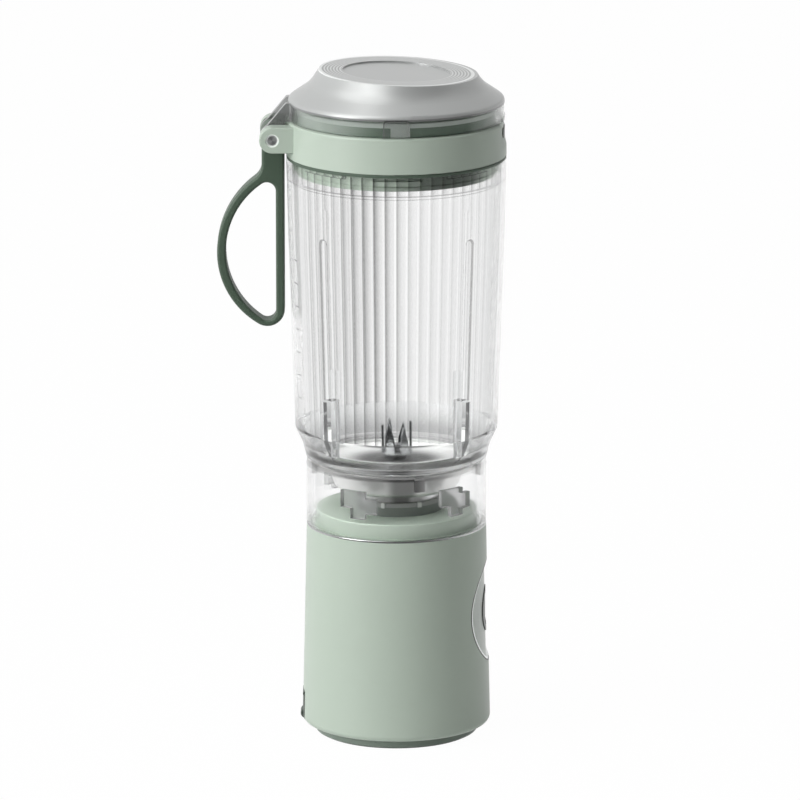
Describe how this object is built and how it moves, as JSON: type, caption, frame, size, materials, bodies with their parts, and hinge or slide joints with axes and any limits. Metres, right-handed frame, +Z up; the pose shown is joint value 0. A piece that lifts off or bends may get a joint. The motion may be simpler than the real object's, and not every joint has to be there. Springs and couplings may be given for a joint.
{
  "type": "cordless personal blender",
  "caption": "Cordless personal blender with a round motor base, a clear fluted twist-off jar, a screw-in lid with a flip cap, and a carry loop on the hinge.",
  "frame": {"origin": "on the jar's axis, in the plane that the foot stands on", "axes": "+Z up along the jar's axis, +X towards the power button, -X towards the lid's hinge, the carry loop and the charging port, -Y towards a viewer who sees the loop at the left"},
  "size_m": [0.1159, 0.0882, 0.2727],
  "materials": {
    "sage_shell": "satin",
    "sage_cover": "satin",
    "foot_rubber": "matte",
    "plain_steel": "satin",
    "seam_chrome": "polished",
    "tower_grey": "satin",
    "clip_white": "gloss",
    "dish_grey": "satin",
    "seal_green": "matte",
    "bush_brass": "satin",
    "motor_black": "matte",
    "magnet_grey": "matte",
    "winding_copper": "satin",
    "blade_steel": "ground",
    "cell_wrap": "satin",
    "board_green": "satin",
    "cradle_white": "matte",
    "panel_sage": "gloss",
    "trim_chrome": "polished",
    "button_grey": "gloss",
    "cover_green": "matte",
    "jar_clear": "clear",
    "lid_sage": "satin",
    "plug_sage": "satin",
    "cap_smoke": "clear",
    "loop_green": "matte",
    "latch_green": "satin"
  },
  "bodies": {
    "base": {"base_shell": "sage_shell", "seam_ring": "seam_chrome", "bottom_cover": "sage_cover", "foot_pad": "foot_rubber", "bottom_screws": "plain_steel", "neck_boss": "sage_shell", "tower_drum": "tower_grey", "tower_clips": "clip_white", "tower_screws": "plain_steel", "blade_dish": "dish_grey", "shaft_seal": "seal_green", "shaft_bush": "bush_brass", "motor_can": "plain_steel", "motor_end_bell": "motor_black", "motor_magnets": "magnet_grey", "motor_bracket": "plain_steel", "bracket_screws": "plain_steel", "battery_cells": "cell_wrap", "battery_cradle": "cradle_white", "control_board": "board_green", "button_switch": "motor_black", "charge_board": "board_green", "usb_socket": "plain_steel", "button_panel": "panel_sage", "panel_trim": "trim_chrome"},
    "rotor": {"armature": "winding_copper", "drive_shaft": "plain_steel", "blade_hub": "plain_steel", "blade_cross": "blade_steel", "blade_nut": "plain_steel"},
    "power_button": {"power_button": "button_grey"},
    "usb_cover": {"usb_cover": "cover_green"},
    "dish_seal": {"dish_seal": "seal_green"},
    "jar": {"jar": "jar_clear"},
    "lid_seal": {"lid_seal": "seal_green"},
    "lid": {"lid_collar": "lid_sage", "lid_plug": "plug_sage", "plug_gasket": "seal_green", "neck_sleeve": "seal_green", "hinge_pin": "plain_steel"},
    "latch_button": {"latch_button": "latch_green"},
    "cap": {"cap": "cap_smoke", "cap_gasket": "seal_green"},
    "carry_loop": {"carry_loop": "loop_green"}
  },
  "joints": [
    {"name": "blade_spin", "type": "hinge", "parent": "base", "child": "rotor", "pos_m": [0, 0, 0.1], "axis": [0, 0, 1], "continuous": true},
    {"name": "power_button_press", "type": "slide", "parent": "base", "child": "power_button", "axis": [-1, 0, 0], "range_m": [0, 0.001], "stiffness_N_per_m": 400, "springref_m": -0.0005},
    {"name": "usb_cover_flip", "type": "hinge", "parent": "base", "child": "usb_cover", "pos_m": [-0.037, 0, 0.016], "axis": [0, 1, 0], "range_deg": [0, 110]},
    {"name": "jar_turn", "type": "hinge", "parent": "base", "child": "dish_seal", "pos_m": [0, 0, 0.11], "axis": [0, 0, 1], "range_deg": [-42, 0]},
    {"name": "jar_lift", "type": "slide", "parent": "dish_seal", "child": "jar", "axis": [0, 0, 1], "range_m": [0, 0.045]},
    {"name": "lid_turn", "type": "hinge", "parent": "jar", "child": "lid_seal", "pos_m": [0, 0, 0.237], "axis": [0, 0, 1], "range_deg": [-30, 0]},
    {"name": "lid_lift", "type": "slide", "parent": "lid_seal", "child": "lid", "axis": [0, 0, 1], "range_m": [0, 0.03]},
    {"name": "latch_press", "type": "slide", "parent": "lid", "child": "latch_button", "axis": [-1, 0, 0], "range_m": [0, 0.0008], "stiffness_N_per_m": 400, "springref_m": -0.0005},
    {"name": "cap_flip", "type": "hinge", "parent": "lid", "child": "cap", "pos_m": [-0.0494, 0, 0.2463], "axis": [0, -1, 0], "range_deg": [0, 130]},
    {"name": "loop_swing", "type": "hinge", "parent": "lid", "child": "carry_loop", "pos_m": [-0.0494, 0, 0.2463], "axis": [0, -1, 0], "range_deg": [-165, 0]}
  ]
}
